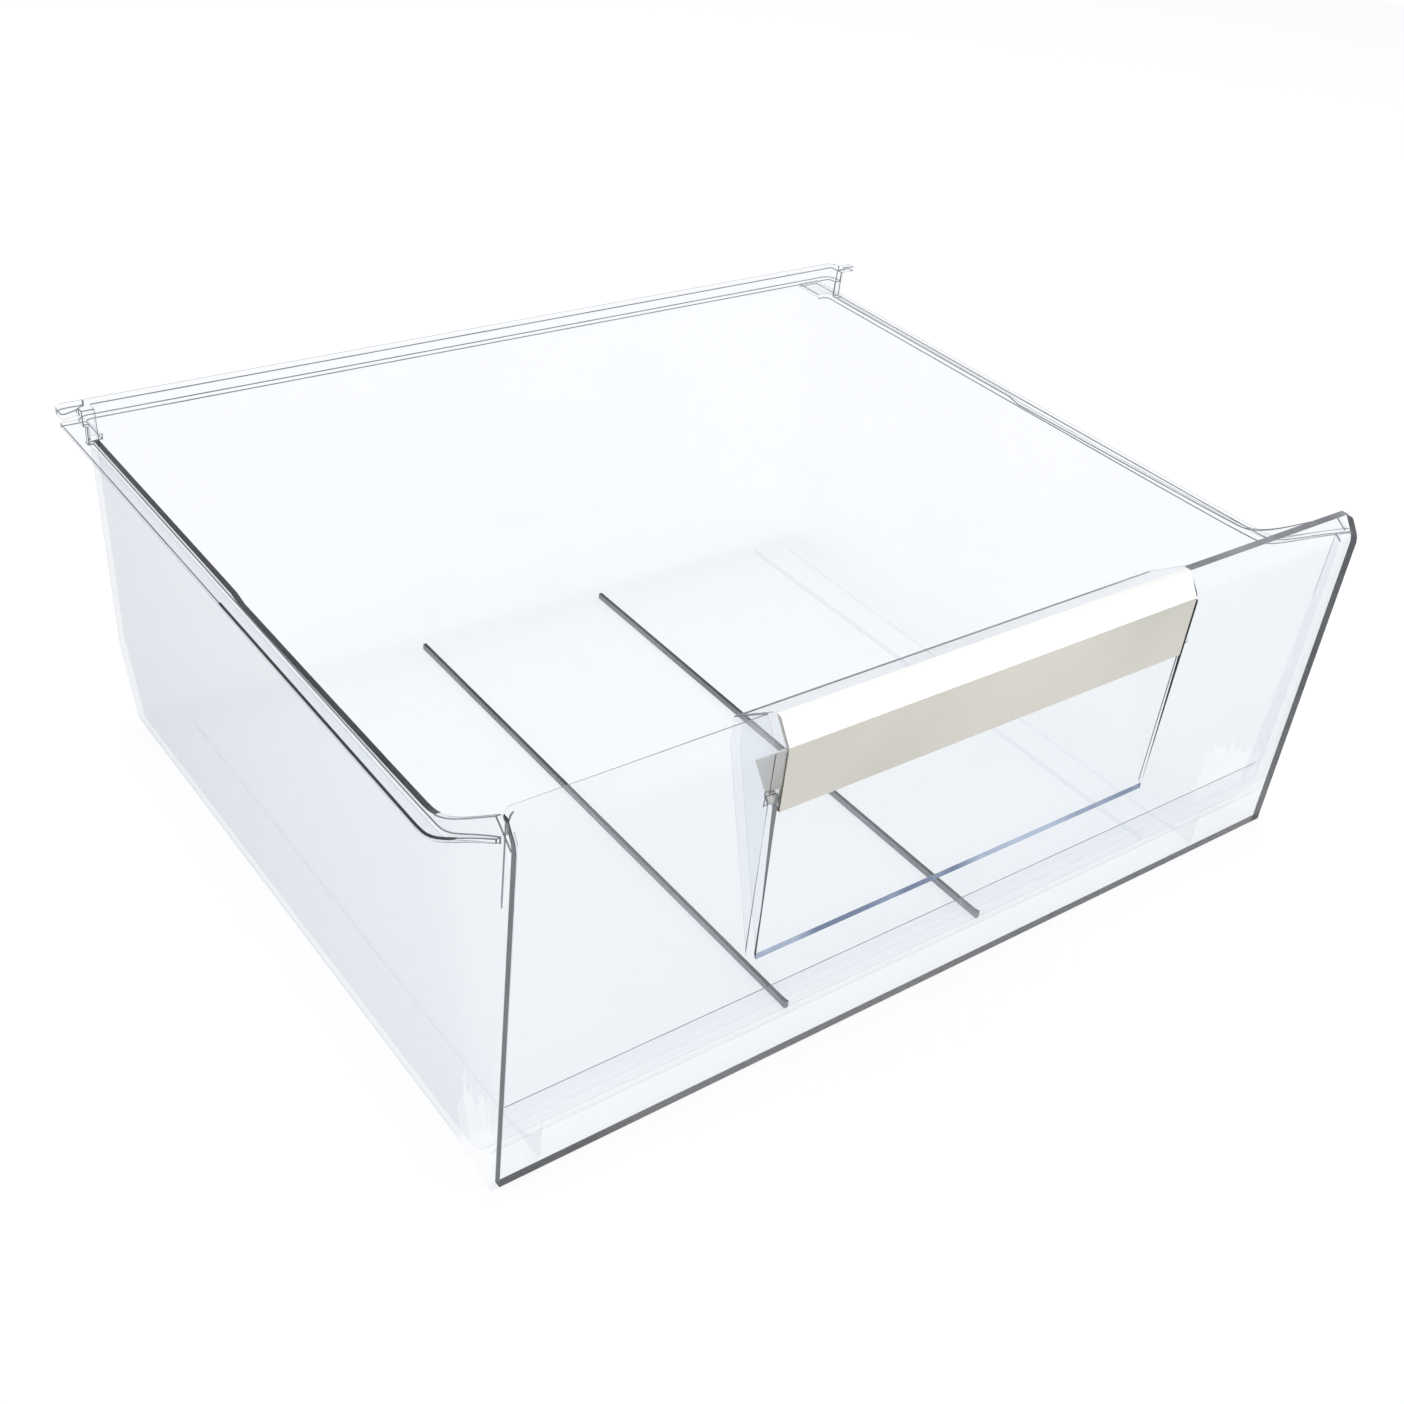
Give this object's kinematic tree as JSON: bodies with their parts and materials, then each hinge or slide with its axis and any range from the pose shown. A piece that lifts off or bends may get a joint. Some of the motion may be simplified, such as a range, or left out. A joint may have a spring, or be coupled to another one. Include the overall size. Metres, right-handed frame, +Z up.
{
  "type": "freezer drawer",
  "caption": "Clear freezer drawer with runner flanges along both sides, a lipped rear rim and a front panel with a finger recess under a grip strip.",
  "frame": {"origin": "bottom centre of the bounding box: centred left to right and front to rear, on the surface the drawer stands on", "axes": "+X to the right as seen from the front panel, +Y to the rear rim, +Z up"},
  "size_m": [0.4626, 0.364, 0.1711],
  "materials": {
    "clear_tub": "polished",
    "clear_panel": "polished",
    "grip": "satin"
  },
  "bodies": {
    "root": {"drawer_tub": "clear_tub", "front_panel": "clear_panel", "handle_strip": "grip"}
  },
  "joints": []
}
